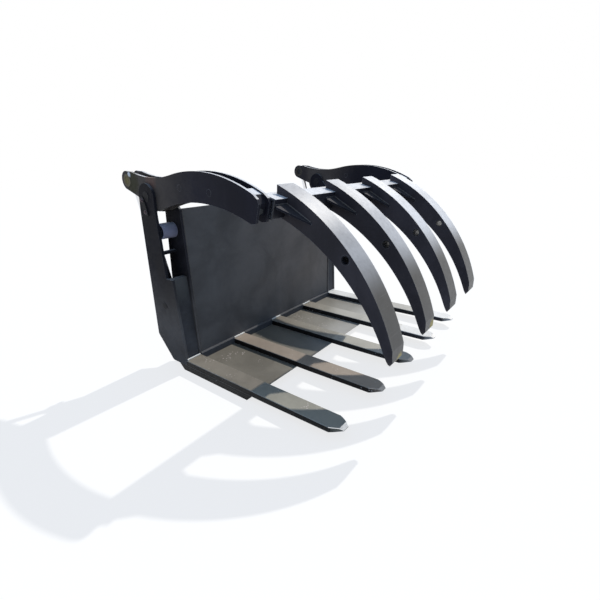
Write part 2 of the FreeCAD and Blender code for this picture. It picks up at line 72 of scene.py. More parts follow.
# Paint.
BLACK = (0.025, 0.025, 0.033)
ARM_BLACK = (0.030, 0.029, 0.038)
ARM_REAR = (0.125, 0.108, 0.092)
SIDE_FOOT = (0.150, 0.141, 0.138)
COVER_GREY = (0.080, 0.080, 0.085)
COVER_TOP = (0.17, 0.17, 0.165)
BACK_GREY = (0.125, 0.122, 0.122)
BACK_BROWN = (0.215, 0.188, 0.170)
TOE_GREY = (0.090, 0.092, 0.100)
CLAW_GREY = (0.075, 0.071, 0.065)
FAR_CLAW_GREY = (0.085, 0.081, 0.076)
BEAD_GREY = (0.05, 0.048, 0.05)
CROSS_MEMBER_BLUE = (0.27, 0.27, 0.36)

# Bare and worn steel.
TINE_BROWN = (0.175, 0.157, 0.130)
TINE_OVER_FLOOR = (0.32, 0.31, 0.28)
TINE_PAST_FLOOR = (0.27, 0.255, 0.21)
TINE_TAN = (0.275, 0.228, 0.185)
TINE_PALE = (0.36, 0.345, 0.30)
# A painted sheen on the two right tines.
TINE_SHEEN = (0.80, 0.79, 0.76)
PLATE_BROWN = (0.150, 0.138, 0.118)
PLATE_PALE = (0.235, 0.228, 0.205)
PLATE_LIP = (0.37, 0.365, 0.345)
# Partly a painted highlight on the tine root welds.
ROOT_WELD_AND_HIGHLIGHT = (0.88, 0.86, 0.80)
GROUND_STEEL = (0.85, 0.85, 0.84)
DARKER_TIP_STEEL = (0.25, 0.26, 0.27)
PIN_STEEL = (0.024, 0.023, 0.025)
BOLT_STEEL = (0.050, 0.050, 0.052)
RUSTY_BOLT = (0.17, 0.085, 0.085)
BUSH_BROWN = (0.040, 0.036, 0.028)
CHROME = (0.75, 0.76, 0.78)

# Dust, from the darkest to the lightest, and the specks that lie in it. The blue and white dust also carry a
# painted sheen, the weld dust a painted highlight, and the bright one is a painted sheen only.
BROWN_DUST = (0.180, 0.163, 0.132)
FLOOR_DUST = (0.200, 0.183, 0.150)
TAN_DUST = (0.250, 0.222, 0.182)
GREY_DUST = (0.29, 0.282, 0.26)
PALE_DUST = (0.33, 0.315, 0.265)
WARM_DUST = (0.37, 0.305, 0.245)
END_DUST = (0.44, 0.42, 0.37)
LIP_DUST = (0.44, 0.43, 0.41)
BLUE_DUST_AND_SHEEN = (0.51, 0.515, 0.54)
BRIGHT_SHEEN = (0.85, 0.84, 0.82)
WELD_DUST_AND_HIGHLIGHT = (0.90, 0.89, 0.85)
WHITE_DUST_AND_SHEEN = (0.96, 0.955, 0.97)
SPECK = (0.62, 0.55, 0.52)

# Stains and one painted glint: a colour, a point and a radius each. The last two values are shares of the
# radius.
YELLOW = (0.42, 0.32, 0.04)
RUST = (0.170, 0.105, 0.085)
OLIVE = (0.230, 0.185, 0.080)
DARK_OLIVE = (0.120, 0.100, 0.050)
OLIVE_EDGE = (0.042, 0.040, 0.020)
EAR_PLACE = (-1.06, 0.408, 1.408)
EAR_RADIUS = 0.090
CLAW_STAINS = ((YELLOW, (-0.725, -1.575, 0.480), 0.050), (YELLOW, (-0.205, -1.575, 0.500), 0.055))
ARM_STAINS_AND_GLINT = ((RUST, (-1.0465, 0.115, 1.415), 0.085), (OLIVE_EDGE, (-1.0465, 0.345, 1.40), 0.12),
              # The white spot beside the ear is a painted glint.
              (WHITE, (-1.0465, 0.366, 1.447), 0.024))
PIN_STAINS = ((OLIVE, EAR_PLACE, EAR_RADIUS),)
BUSH_STAINS = ((DARK_OLIVE, EAR_PLACE, EAR_RADIUS),)
STAIN_RAGGED = 0.8
STAIN_BORDER = (1.3, 0.8)

# Wear. A noise is a scale, a detail and a roughness. A step is where it starts and where it ends, and
# then its value at both, where that isn't 0 and 1.
BROAD_NOISE = (2.3, 5.0, 0.6)
BROAD_TWIST = 0.4
FINE_NOISE = (38.0, 5.0, 0.65)
SIDEWAYS_STEP = (0.75, 0.98)
MOTTLE_STEP = (0.32, 0.68)
STREAK_SCALE = (9.0, 9.0, 1.2)
STREAK_NOISE = (1.0, 4.0, 0.6)
STREAK_STEP = (0.5, 0.75)
FILM_STEP = (0.35, 0.7)
LYING_BROAD_STEP = (0.25, 0.7, 0.75, 1.0)
LYING_FINE_STEP = (0.25, 0.65, 0.8, 1.0)
STAIN_NOISE = (60.0, 3.0, 0.6)
SCRATCH_TURNS = ((0.2, 0.1, 0.5), (0.9, 0.3, -0.7))
SCRATCH_SCALE = (2.0, 420.0, 252.0)
SCRATCH_NOISE = (1.0, 2.0, 0.5)
SCRATCH_STEP = (0.70, 0.76)
SCRATCH_PATCH_NOISE = (3.1, 2.0, 0.5)
SCRATCH_PATCH_STEP = (0.45, 0.62)
SPECK_SCALE = 48.0
SPECK_STEP = (0.30, 0.16)
SPECK_PATCH_NOISE = (6.0, 3.0, 0.6)
SPECK_PATCH_STEP = (0.56, 0.64)
EDGE_SAMPLES = 4
EDGE_STEP = (0.998, 0.93)
RUBBED_STEP = (0.30, 0.62, 0.2, 1.0)
WORN_BLUE = 0.98
ROUGH_STEP = (0.12, 0.42)
DENT_NOISE = (7.0, 3.0, 0.5)
DENT_STRENGTH = 0.25
DENT_DEPTH = 0.004
PIT_NOISE = (160.0, 6.0, 0.6)
PIT_DEPTH = 0.0012

# Where a finish changes, as steps along the axis in their names. A wander is a noise's scale and how
# far it moves a step's border.
FLOOR_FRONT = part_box("floor_plate")[0].y
FLOOR_BORDER = 0.01
PAST_FLOOR_Y = (FLOOR_FRONT + FLOOR_BORDER, FLOOR_FRONT - FLOOR_BORDER)
FLOOR_SPREAD = (-0.1, 1.6)
FLOOR_WANDER = (5.0, 0.5)
FLOOR_REAR_Y = (-0.02, -0.40, 0.35, 1.0)
FLOOR_LIP_Y = (-0.38, -0.68)
FLOOR_LIP_X = (-0.40, 0.15)
PLATE_SPREAD_X = (-0.45, 1.5)
PLATE_WANDER = (2.1, 0.9)
PLATE_FOOT_Z = (0.05, 0.50, 0.15, 1.0)
CLAW_SPREAD_X = (-0.8, 0.35)
SECOND_TINE_X = ((-0.70, -0.60), (-0.30, -0.40))
DULL_TIPS_X = ((-0.80, -0.70), (0.30, 0.20))
RIGHT_ENDS_X = (-0.35, -0.15)
FAR_TINES_X = (0.15, 0.40)
FAR_LENGTHS_Y = (-0.25, -0.45, 0.0, 0.2)
FAR_TIPS_Y = (-1.00, -1.12)
LAST_TINE_X = (0.65, 0.85)
LAST_ROOT_Y = (-0.15, -0.60, 0.85, 0.15)
SIDE_LIGHTER_Z = (1.05, 0.50)
SIDE_WANDER = (4.0, 0.3)
SIDE_FOOT_Z = (0.15, 0.35, 0.7, 1.0)
COVER_TOP_Z = (0.50, 0.72)
ARM_REAR_Y = (-0.20, 0.42)
ARM_WANDER = (6.0, 0.4)
ARM_EAR_Y = (0.34, 0.25, 0.4, 1.0)
WANDER_DETAIL = 4.0
WANDER_ROUGHNESS = 0.6

# The tines' points. TIP_STEP spaces the sections near a point, in degrees of a quarter turn. A face is
# on the ground slope where its normal leans forward and upward by more than the last two values.
TINE_COUNT = 5
TINE_TAPER = 0.60
TINE_CUTS = (TINE_TAPER, 0.30, 0.18)
TINE_RISE = 0.010
TINE_CHAMFER = 0.003
TIP_RUN = 0.082
TIP_STEP = 9
TIP_HALF_WIDTH = 0.024
TIP_BULGE = 1.25
TIP_SLOPE = 0.026
TIP_DROP = 0.014
TIP_LIFT = 0.016
SLOPE_FORWARD = 0.2
SLOPE_UPWARD = 0.3

# The claws' points, drawn in to a share of the width.
CLAW_COUNT = 4
CLAW_TIP_RUN = 0.10
CLAW_TIP_CUTS = 6
CLAW_TIP_SHARE = 0.60

# Weld beads. BEAD_RIPPLES is the fewest on a straight run. A bead's middle stands off its corner by a
# share of its radius.
BEAD_PITCH = 0.009
BEAD_RIPPLES = 2
BEAD_VALLEY = 0.82
BEAD_SIDES = 6
ROOT_BEAD = 0.008
ROOT_BEAD_OUT = 0.75
ROOT_BEAD_UP = 0.6
FINE_BEAD = 0.005
FINE_BEAD_OUT = 0.3

# The seams that the beads follow, where a node's box doesn't give them.
SEAM_FOOT = 0.115
RIB_PLACES = (-0.74, -0.25, 0.25, 0.74)
RIB_THICK = 0.014
RIB_SPAN = (0.156, 1.074)
LUG_THICK = 0.025
LOWER_LUG_PLACES = (-0.5575, -0.4425, 0.4425, 0.5575)
LOWER_LUG_SPAN = (0.156, 0.554)
UPPER_LUG_PLACES = (-0.0675, 0.0675)
UPPER_LUG_SPAN = (0.566, 1.004)
TUBE_MIDDLE = (-0.810, 1.285)
TUBE_HALF = 0.055
TUBE_TILT = 15.0
GUSSET_SLOPE = 29.0
GUSSET_TOP = 1.3275
GUSSET_SEAM = (0.066, 0.258)
GUSSET_WIDTH = 0.100


class Shade:
    """One material under construction, with short calls for the nodes that the finishes share."""

    def __init__(self, name):
        self.material = bpy.data.materials.new(name)
        self.material.use_nodes = True
        self.tree = self.material.node_tree
        self.tree.nodes.clear()
        self.surface = self.tree.nodes.new("ShaderNodeBsdfPrincipled")
        output = self.tree.nodes.new("ShaderNodeOutputMaterial")
        self.tree.links.new(self.surface.outputs["BSDF"], output.inputs["Surface"])
        place = self.tree.nodes.new("ShaderNodeTexCoord")
        self.place = place.outputs["Object"]
        self.facing = place.outputs["Normal"]
        self.colour = None

    def feed(self, socket, value):
        """Sets a socket to a value, or links it to another node's output."""
        if isinstance(value, bpy.types.NodeSocket):
            self.tree.links.new(value, socket)
        else:
            socket.default_value = value

    def add(self, kind, values=None, **settings):
        """A new node with these inputs and settings."""
        node = self.tree.nodes.new("ShaderNode" + kind)
        for key, value in settings.items():
            setattr(node, key, value)
        for key, value in (values or {}).items():
            self.feed(node.inputs[key], value)
        return node

    def fold(self, operation, *values):
        """One Math operation over two or more values, from left to right."""
        total, *rest = values
        for value in rest:
            total = self.add("Math", {0: total, 1: value}, operation=operation).outputs[0]
        return total

    def times(self, *values):
        """The product of these values."""
        return self.fold("MULTIPLY", *values)

    def ramp(self, value, start, end, low=0.0, high=1.0):
        """A soft step from low to high as value goes from start to end."""
        ends = {"Value": value, "From Min": start, "From Max": end, "To Min": low, "To Max": high}
        return self.add("MapRange", ends, interpolation_type="SMOOTHSTEP").outputs["Result"]

    def axis(self, letter, vector=None):
        """One coordinate of the place on the part, or of another vector."""
        return self.add("SeparateXYZ", {"Vector": vector or self.place}).outputs[letter]

    def step(self, letter, ends):
        """A soft step along one axis of the part."""
        return self.ramp(self.axis(letter), *ends)

    def stretched(self, scale, turn=(0.0, 0.0, 0.0)):
        """The part's own coordinates, stretched and turned."""
        ends = {"Vector": self.place, "Scale": scale, "Rotation": turn}
        return self.add("Mapping", ends).outputs["Vector"]

    def noise(self, scale, detail, roughness, where=None, twist=0.0):
        ends = {"Vector": where or self.place, "Scale": scale, "Detail": detail,
                "Roughness": roughness, "Distortion": twist}
        return self.add("TexNoise", ends).outputs["Fac"]

    def wandering(self, value, scale, width):
        """A value whose borders wander over a width, by a broad noise."""
        return self.fold("ADD", value, self.times(self.noise(scale, WANDER_DETAIL, WANDER_ROUGHNESS), width))

    def mix(self, share, first, second, blend="MIX"):
        node = self.add("Mix", {0: share, 6: first, 7: second}, data_type="RGBA", blend_type=blend)
        return node.outputs[2]

    def lay(self, share, colour, blend="MIX"):
        """Lays a colour over the finish as it is so far."""
        self.colour = self.mix(share, self.colour, colour, blend)

    def bump(self, height, strength, distance, before=None):
        ends = {"Height": height, "Strength": strength, "Distance": distance}
        if before is not None:
            ends["Normal"] = before
        return self.add("Bump", ends).outputs["Normal"]

    def edges(self, radius):
        """1 along the sharp edges of the piece and 0 on its flats."""
        soft = self.add("Bevel", {"Radius": radius}, samples=EDGE_SAMPLES).outputs["Normal"]
        true = self.add("NewGeometry").outputs["True Normal"]
        dot = self.add("VectorMath", {0: soft, 1: true}, operation="DOT_PRODUCT").outputs["Value"]
        return self.ramp(dot, *EDGE_STEP)

    def near(self, point, radius):
        """1 close to a point of the part and 0 well past the radius, with a ragged border."""
        away = self.add("VectorMath", {0: self.place, 1: point}, operation="DISTANCE").outputs["Value"]
        ragged = self.times(self.noise(*STAIN_NOISE), radius * STAIN_RAGGED)
        border = [radius * share for share in STAIN_BORDER]
        return self.ramp(self.fold("ADD", away, ragged), *border)

    def scratches(self, turn):
        """Thin straight marks along one direction, in patches."""
        lines = self.noise(*SCRATCH_NOISE, self.stretched(SCRATCH_SCALE, turn))
        patches = self.ramp(self.noise(*SCRATCH_PATCH_NOISE), *SCRATCH_PATCH_STEP)
        return self.times(self.ramp(lines, *SCRATCH_STEP), patches)

    def specks(self):
        """Small spots of grit, in patches."""
        cells = self.add("TexVoronoi", {"Vector": self.place, "Scale": SPECK_SCALE, "Randomness": 1.0})
        spots = self.ramp(cells.outputs["Distance"], *SPECK_STEP)
        return self.times(spots, self.ramp(self.noise(*SPECK_PATCH_NOISE), *SPECK_PATCH_STEP))


def opaque(colour):
    return (*colour, 1.0)


def worn_metal(name, base, dust, dust_share=0.6, dust_slope=(0.35, 0.92), film_share=0.25, side=WHITE,
               side_gloss=0.3, mottle=0.35, wear=0.42, wear_share=0.7, wear_radius=0.004,
               scratch_share=0.25, speck_share=0.0, rough=(0.38, 0.62), specular=0.25, metallic=0.0,
               grain=0.25, zones=(), stains=()):
    """Old paint or bare steel: its own colour with a painted shade on the sides, dust with a painted sheen
    on top, and rubbed bright along its edges.

    side paints a shade on the faces that look left or right, and side_gloss dims their shine with it. The
    dust slope is how far up a face looks where dust and painted sheen start to lie on it, and where they lie
    fully. A zone is another base and dust colour of the same surface, some of them a painted sheen, and a
    function that says where it lies. A stain or painted glint is a colour, a point and a radius.
    """
    shade = Shade(name)
    # Painted shade: faces that look left or right take the side tint, and side_gloss dims their shine.
    sideways = shade.add("Math", {0: shade.axis("X", shade.facing)}, operation="ABSOLUTE").outputs[0]
    side_shade_share = shade.ramp(sideways, *SIDEWAYS_STEP)
    broad = shade.noise(*BROAD_NOISE, twist=BROAD_TWIST)
    fine = shade.noise(*FINE_NOISE)
    worn = opaque((wear, wear, wear * WORN_BLUE))

    # The colour, mottled, with other colours in the zones.
    shade.colour, dust_and_sheen_colour = opaque(base), opaque(dust)
    for zone_base, zone_dust, lies in zones:
        where = lies(shade)
        shade.lay(where, opaque(zone_base))
        dust_and_sheen_colour = shade.mix(where, dust_and_sheen_colour, opaque(zone_dust))
    swing = shade.ramp(broad, *MOTTLE_STEP, 1.0 - mottle, 1.0 + mottle)
    spread = shade.add("CombineColor", {"Red": swing, "Green": swing, "Blue": swing}).outputs["Color"]
    shade.lay(1.0, spread, "MULTIPLY")

    # A film of dust in upright streaks, the painted shade of the sides, and the dust with a painted sheen on
    # faces that look up.
    streaks = shade.noise(*STREAK_NOISE, shade.stretched(STREAK_SCALE))
    film = shade.times(shade.ramp(streaks, *STREAK_STEP, 0.0, film_share), shade.ramp(fine, *FILM_STEP))
    shade.lay(film, dust_and_sheen_colour)
    shade.lay(1.0, shade.mix(side_shade_share, opaque(WHITE), opaque(side)), "MULTIPLY")
    up = shade.ramp(shade.axis("Z", shade.facing), *dust_slope)
    lying_dust_and_sheen = shade.times(up, shade.ramp(broad, *LYING_BROAD_STEP), shade.ramp(fine, *LYING_FINE_STEP))
    shade.lay(shade.times(lying_dust_and_sheen, dust_share), dust_and_sheen_colour)

    # Stains and painted glints, scratches, specks and rubbed edges.
    for stain, point, radius in stains:
        shade.lay(shade.near(point, radius), opaque(stain))
    marks = shade.fold("MAXIMUM", *(shade.scratches(turn) for turn in SCRATCH_TURNS))
    shade.lay(shade.times(marks, scratch_share), worn)
    if speck_share:
        shade.lay(shade.times(shade.specks(), speck_share), opaque(SPECK))
    rubbed = shade.times(shade.edges(wear_radius), shade.ramp(fine, *RUBBED_STEP), wear_share)
    shade.lay(rubbed, worn)

    # The shader's own inputs.
    shade.feed(shade.surface.inputs["Base Color"], shade.colour)
    smear = shade.ramp(shade.times(fine, broad), *ROUGH_STEP, *rough)
    shade.feed(shade.surface.inputs["Roughness"], smear)
    # The same painted shade dims the shine of the faces that look left or right.
    if side_gloss < 1.0:
        dim = opaque((side_gloss, side_gloss, side_gloss))
        shade.feed(shade.surface.inputs["Specular Tint"], shade.mix(side_shade_share, opaque(WHITE), dim))
    shade.surface.inputs["Specular IOR Level"].default_value = specular
    shade.surface.inputs["Metallic"].default_value = metallic
    dents = shade.bump(shade.noise(*DENT_NOISE), DENT_STRENGTH, DENT_DEPTH)
    pits = shade.bump(shade.noise(*PIT_NOISE), grain, PIT_DEPTH, dents)
    shade.feed(shade.surface.inputs["Normal"], pits)
    return shade.material


# Zones: functions that say where another colour lies on a surface.


def across_plate(shade):
    """Grows over the back plate from its left side to its right side, less so near its foot."""
    grows = shade.ramp(shade.wandering(shade.axis("X"), *PLATE_WANDER), *PLATE_SPREAD_X)
    return shade.times(grows, shade.step("Z", PLATE_FOOT_Z))


def over_floor(shade):
    """Grows over the floor from its rear left corner to its front right corner."""
    aside = shade.fold("SUBTRACT", shade.axis("X"), shade.axis("Y"))
    grows = shade.ramp(shade.wandering(aside, *FLOOR_WANDER), *FLOOR_SPREAD)
    return shade.times(grows, shade.step("Y", FLOOR_REAR_Y))


def floor_lip(shade):
    """Grows towards the floor's front edge, from its middle to its right end."""
    return shade.times(shade.step("Y", FLOOR_LIP_Y), shade.step("X", FLOOR_LIP_X))


def claw_sheen_spread(shade):
    """A painted sheen that whitens the dust: grows from the left claw to the right ones."""
    return shade.step("X", CLAW_SPREAD_X)


def past_floor(shade):
    """1 on the free length of a tine, in front of the floor plate."""
    return shade.step("Y", PAST_FLOOR_Y)


def right_ends(shade):
    """1 on the free lengths of the tines from the middle one to the right."""
    return shade.times(past_floor(shade), shade.step("X", RIGHT_ENDS_X))


def far_tines_sheen(shade):
    """A painted sheen: grows on the two tines at the right, most at their tips and at the last one's root.
    """
    root = shade.times(shade.step("X", LAST_TINE_X), shade.step("Y", LAST_ROOT_Y))
    worn = shade.fold("MAXIMUM", root, shade.step("Y", FAR_LENGTHS_Y), shade.step("Y", FAR_TIPS_Y))
    return shade.times(worn, shade.step("X", FAR_TINES_X))


def second_tine(shade):
    """1 on the second tine from the left, which is a lighter tan."""
    return shade.times(*(shade.step("X", ends) for ends in SECOND_TINE_X))


def darker_tips(shade):
    """1 on the points of the second and third tine, which are darker."""
    return shade.times(*(shade.step("X", ends) for ends in DULL_TIPS_X))


def low_down(shade):
    """Grows towards the foot of a side plate, which is lighter there, and fades a little below."""
    grows = shade.ramp(shade.wandering(shade.axis("Z"), *SIDE_WANDER), *SIDE_LIGHTER_Z)
    return shade.times(grows, shade.step("Z", SIDE_FOOT_Z))


def high_up(shade):
    """Grows towards the top of a front cover."""
    return shade.step("Z", COVER_TOP_Z)


def rearward(shade):
    """Grows towards the rear of an arm, where it is dusty, and fades again at its ear."""
    grows = shade.ramp(shade.wandering(shade.axis("Y"), *ARM_WANDER), *ARM_REAR_Y)
    return shade.times(grows, shade.step("Y", ARM_EAR_Y))


def make_finishes():
    """Every finish of the grapple, by its name."""
    made = {}

    def add(name, base, dust, **rest):
        made[name] = worn_metal(name, base, dust, **rest)

    # Side frames, back plate and what stands behind it.
    add("side_paint", BLACK, BLUE_DUST_AND_SHEEN, dust_share=0.45, film_share=0.03, side=(0.80, 0.77, 0.74),
        wear_share=0.3, wear_radius=0.003, rough=(0.5, 0.7), specular=0.08,
        zones=((SIDE_FOOT, BLUE_DUST_AND_SHEEN, low_down),))
    add("cover_paint", COVER_GREY, BLUE_DUST_AND_SHEEN, dust_share=0.2, film_share=0.04, side=(0.5, 0.5, 0.55),
        wear_share=0.2, wear_radius=0.003, rough=(0.5, 0.7), specular=0.08,
        zones=((COVER_TOP, BLUE_DUST_AND_SHEEN, high_up),))
    add("back_paint", BACK_GREY, BROWN_DUST, dust_share=0.3, film_share=0.12, mottle=0.22, wear_share=0.25,
        specular=0.10, zones=((BACK_BROWN, BROWN_DUST, across_plate),))
    add("toe_paint", TOE_GREY, BROWN_DUST, dust_share=0.1, film_share=0.1, mottle=0.2, wear_share=0.1,
        specular=0.10)
    add("tube_paint", CROSS_MEMBER_BLUE, BLUE_DUST_AND_SHEEN, dust_share=0.5, wear_share=0.3)

    # Arms, cross tube and claws. Their white and blue dust also carries a painted sheen on the faces that
    # look up.
    add("arm_paint", ARM_BLACK, WHITE_DUST_AND_SHEEN, dust_share=0.95, dust_slope=(0.5, 0.95), film_share=0.01,
        side=(0.95, 0.92, 0.95), mottle=0.2, wear=0.6, wear_share=0.4, wear_radius=0.002,
        scratch_share=0.05, specular=0.10, zones=((ARM_REAR, WHITE_DUST_AND_SHEEN, rearward),), stains=ARM_STAINS_AND_GLINT)
    add("nose_paint", BLACK, WHITE_DUST_AND_SHEEN, dust_share=1.0, dust_slope=(0.62, 0.80), film_share=0.0,
        side=(0.8, 0.8, 0.9), mottle=0.2, wear_share=0.1, scratch_share=0.05, rough=(0.5, 0.7),
        specular=0.05)
    add("tube_top_paint", BLACK, WHITE_DUST_AND_SHEEN, dust_share=1.0, dust_slope=(0.55, 0.90), film_share=0.02,
        side=(0.8, 0.8, 0.9), side_gloss=0.2, mottle=0.2, wear=0.6, wear_share=0.5, scratch_share=0.1,
        rough=(0.3, 0.5), specular=0.3)
    # The claws' tops carry dust with a painted sheen, whiter on the right claws.
    add("claw_paint", CLAW_GREY, BLUE_DUST_AND_SHEEN, dust_share=0.96, dust_slope=(0.50, 0.69), film_share=0.03,
        side=(0.88, 0.82, 0.98), side_gloss=0.05, mottle=0.25, wear=0.5, wear_share=0.35,
        scratch_share=0.2, rough=(0.33, 0.5), specular=0.4,
        zones=((FAR_CLAW_GREY, WHITE_DUST_AND_SHEEN, claw_sheen_spread),), stains=CLAW_STAINS)
    add("gusset_paint", BLACK, BLUE_DUST_AND_SHEEN, dust_share=0.06, film_share=0.03, side=(0.8, 0.8, 0.9),
        side_gloss=0.2, wear=0.5, wear_share=0.25, scratch_share=0.2, rough=(0.45, 0.6), specular=0.05)
    add("sleeve_paint", BLACK, BLUE_DUST_AND_SHEEN, dust_share=0.0, film_share=0.0, wear_share=0.0,
        rough=(0.12, 0.22))
    add("bead_paint", BEAD_GREY, BLUE_DUST_AND_SHEEN, dust_share=0.3, film_share=0.0, wear_share=0.2,
        rough=(0.35, 0.5), specular=0.3)

    # Tines and floor. Their side tints are a deep painted shade on the faces that look left or right.
    add("tine_finish", TINE_BROWN, TAN_DUST, dust_share=0.75, side=(0.06, 0.06, 0.07), side_gloss=0.1,
        mottle=0.25, wear=0.70, wear_share=0.5, speck_share=0.7, rough=(0.35, 0.6), specular=0.3,
        zones=((TINE_OVER_FLOOR, PALE_DUST, over_floor), (TINE_PAST_FLOOR, PALE_DUST, past_floor),
               (TINE_TAN, WARM_DUST, second_tine), (TINE_PALE, END_DUST, right_ends),
               (TINE_SHEEN, BRIGHT_SHEEN, far_tines_sheen)))
    add("tip_finish", GROUND_STEEL, WHITE_DUST_AND_SHEEN, dust_share=0.2, film_share=0.0, mottle=0.1,
        wear_share=0.2, rough=(0.25, 0.40), specular=0.5, metallic=0.7,
        zones=((DARKER_TIP_STEEL, BLUE_DUST_AND_SHEEN, darker_tips),))
    add("floor_finish", PLATE_BROWN, FLOOR_DUST, dust_share=0.75, side=(0.09, 0.09, 0.10),
        side_gloss=0.1, mottle=0.3, wear_share=0.2, scratch_share=0.2, speck_share=0.8,
        rough=(0.35, 0.6), specular=0.3,
        zones=((PLATE_PALE, GREY_DUST, over_floor), (PLATE_LIP, LIP_DUST, floor_lip)))
    # The root welds' near-white colour is partly a painted highlight.
    add("root_weld_and_highlight_finish", ROOT_WELD_AND_HIGHLIGHT, WELD_DUST_AND_HIGHLIGHT, dust_share=0.4, film_share=0.0, side=(0.6, 0.6, 0.6),
        mottle=0.08, wear_share=0.1, scratch_share=0.1, specular=0.3)

    # Pins, bolts, bushes and cylinders.
    add("pin_finish", PIN_STEEL, BLUE_DUST_AND_SHEEN, dust_share=0.05, wear_share=0.1, rough=(0.45, 0.6),
        specular=0.12, stains=PIN_STAINS)
    add("keeper_bolt_finish", RUSTY_BOLT, BLUE_DUST_AND_SHEEN, dust_share=0.05, specular=0.2)
    add("bolt_finish", BOLT_STEEL, BLUE_DUST_AND_SHEEN, dust_share=0.1, wear_share=0.2, rough=(0.4, 0.6),
        specular=0.2)
    add("bush_finish", BUSH_BROWN, BROWN_DUST, dust_share=0.2, wear_share=0.1, rough=(0.3, 0.5),
        specular=0.4, metallic=0.2, stains=BUSH_STAINS)
    add("chrome_finish", CHROME, BLUE_DUST_AND_SHEEN, dust_share=0.05, film_share=0.05, side_gloss=1.0,
        mottle=0.05, wear_share=0.0, scratch_share=0.1, rough=(0.06, 0.12), specular=0.5, metallic=1.0,
        grain=0.03)
    add("cylinder_paint", BLACK, BLUE_DUST_AND_SHEEN, dust_share=0.3, film_share=0.1, wear_share=0.3, specular=0.2)
    return made


def dress(names, material):
    """Gives these CAD nodes a finish."""
    for name in names:
        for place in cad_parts[name].material_slots:
            place.material = material


def both(name):
    """The left and the right node of this name."""
    return [f"left_{name}", f"right_{name}"]


def add_piece(name, points, faces, material, body):
    """A new mesh piece that rides on a body."""
    mesh = bpy.data.meshes.new(name)
    mesh.from_pydata(points, [], faces)
    mesh.materials.append(material)
    piece = bpy.data.objects.new(name, mesh)
    bpy.context.collection.objects.link(piece)
    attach(piece, body)
    return piece


def ring_faces(rings, size):
    """Side faces between rings of points, and a cap at each end."""
    faces = []
    for k in range(rings - 1):
        for j in range(size):
            a, b = k * size + j, k * size + (j + 1) % size
            faces.append((a, b, b + size, a + size))
    faces.append(tuple(reversed(range(size))))
    faces.append(tuple(range((rings - 1) * size, rings * size)))
    return faces


def tine_section(half, foot, top):
    """A tine's section: a flat bar with its two upper edges broken."""
    c = TINE_CHAMFER
    return [(-half, foot), (half, foot), (half, top - c), (half - c, top), (c - half, top), (-half, top - c)]


def tine(node, material, tip_material):
    """A fork tine whose underside rises to a thin point, with a slope ground in front."""
    low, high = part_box(node)
    middle, half = (low.x + high.x) / 2, (high.x - low.x) / 2
    distances = list(TINE_CUTS)
    distances += [TIP_RUN * (1 - math.sin(math.radians(step))) for step in range(0, 90, TIP_STEP)]
    stations = [high.y] + [low.y + distance for distance in distances] + [low.y]
    points = []
    for y in stations:
        left = y - low.y
        taper = max(0.0, 1 - left / TINE_TAPER)
        turn = max(0.0, 1 - left / TIP_RUN)
        drop = max(0.0, 1 - left / TIP_SLOPE)
        width = TIP_HALF_WIDTH + (half - TIP_HALF_WIDTH) * (1 - turn ** TIP_BULGE)
        section = tine_section(width, low.z + TINE_RISE * taper + TIP_LIFT * turn, high.z - TIP_DROP * drop)
        points += [(middle + x, y, z) for x, z in section]
    faces = ring_faces(len(stations), len(section))
    piece = add_piece(f"{node}_bar", points, faces, material, "frame")
    piece.data.materials.append(tip_material)
    for face in piece.data.polygons:
        if face.normal.y < -SLOPE_FORWARD and face.normal.z > SLOPE_UPWARD:
            face.material_index = 1
    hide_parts(node)


def claw(node, material):
    """A claw whose sides are drawn in towards its point, as if worn."""
    low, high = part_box(node)
    middle = (low.x + high.x) / 2
    form = bmesh.new()
    form.from_mesh(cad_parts[node].data)
    for step in range(1, CLAW_TIP_CUTS + 1):
        level = low.z + CLAW_TIP_RUN * step / CLAW_TIP_CUTS
        parts = form.verts[:] + form.edges[:] + form.faces[:]
        bmesh.ops.bisect_plane(form, geom=parts, plane_co=(0.0, 0.0, level), plane_no=(0.0, 0.0, 1.0))
    for point in form.verts:
        turn = max(0.0, 1 - (point.co.z - low.z) / CLAW_TIP_RUN)
        keep = CLAW_TIP_SHARE + (1 - CLAW_TIP_SHARE) * math.sqrt(1 - turn * turn)
        point.co.x = middle + (point.co.x - middle) * keep
    piece = add_piece(f"{node}_blade", [], [], material, "clamp")
    form.to_mesh(piece.data)
    form.free()
    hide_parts(node)


def bead(path, radius):
    """Points and faces of a rippled weld bead along a path of two or more points."""
    points, rings = [], 0
    for start, end in zip(path, path[1:]):
        start, end = Vector(start), Vector(end)
        along = (end - start).normalized()
        aside = along.orthogonal().normalized()
        above = along.cross(aside)
        halves = max(BEAD_RIPPLES, round((end - start).length / BEAD_PITCH)) * 2
        for k in range(halves + 1):
            crest = radius * (1.0 if k % 2 else BEAD_VALLEY)
            centre = start.lerp(end, k / halves)
            for j in range(BEAD_SIDES):
                turn = math.tau * j / BEAD_SIDES
                points.append(centre + aside * crest * math.cos(turn) + above * crest * math.sin(turn))
            rings += 1
    return points, ring_faces(rings, BEAD_SIDES)


def weld(name, paths, radius, material, body):
    """One piece with a weld bead along each path."""
    points, faces = [], []
    for path in paths:
        more, sides = bead(path, radius)
        faces += [tuple(index + len(points) for index in side) for side in sides]
        points += more
    return add_piece(name, points, faces, material, body)


def root_seams():
    """Where each tine's top meets the back plate."""
    paths = []
    for number in range(1, TINE_COUNT + 1):
        low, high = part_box(f"tine_{number}")
        y, z = -ROOT_BEAD_OUT * ROOT_BEAD, high.z + ROOT_BEAD_UP * ROOT_BEAD
        paths.append([(low.x + ROOT_BEAD, y, z), (high.x - ROOT_BEAD, y, z)])
    return paths


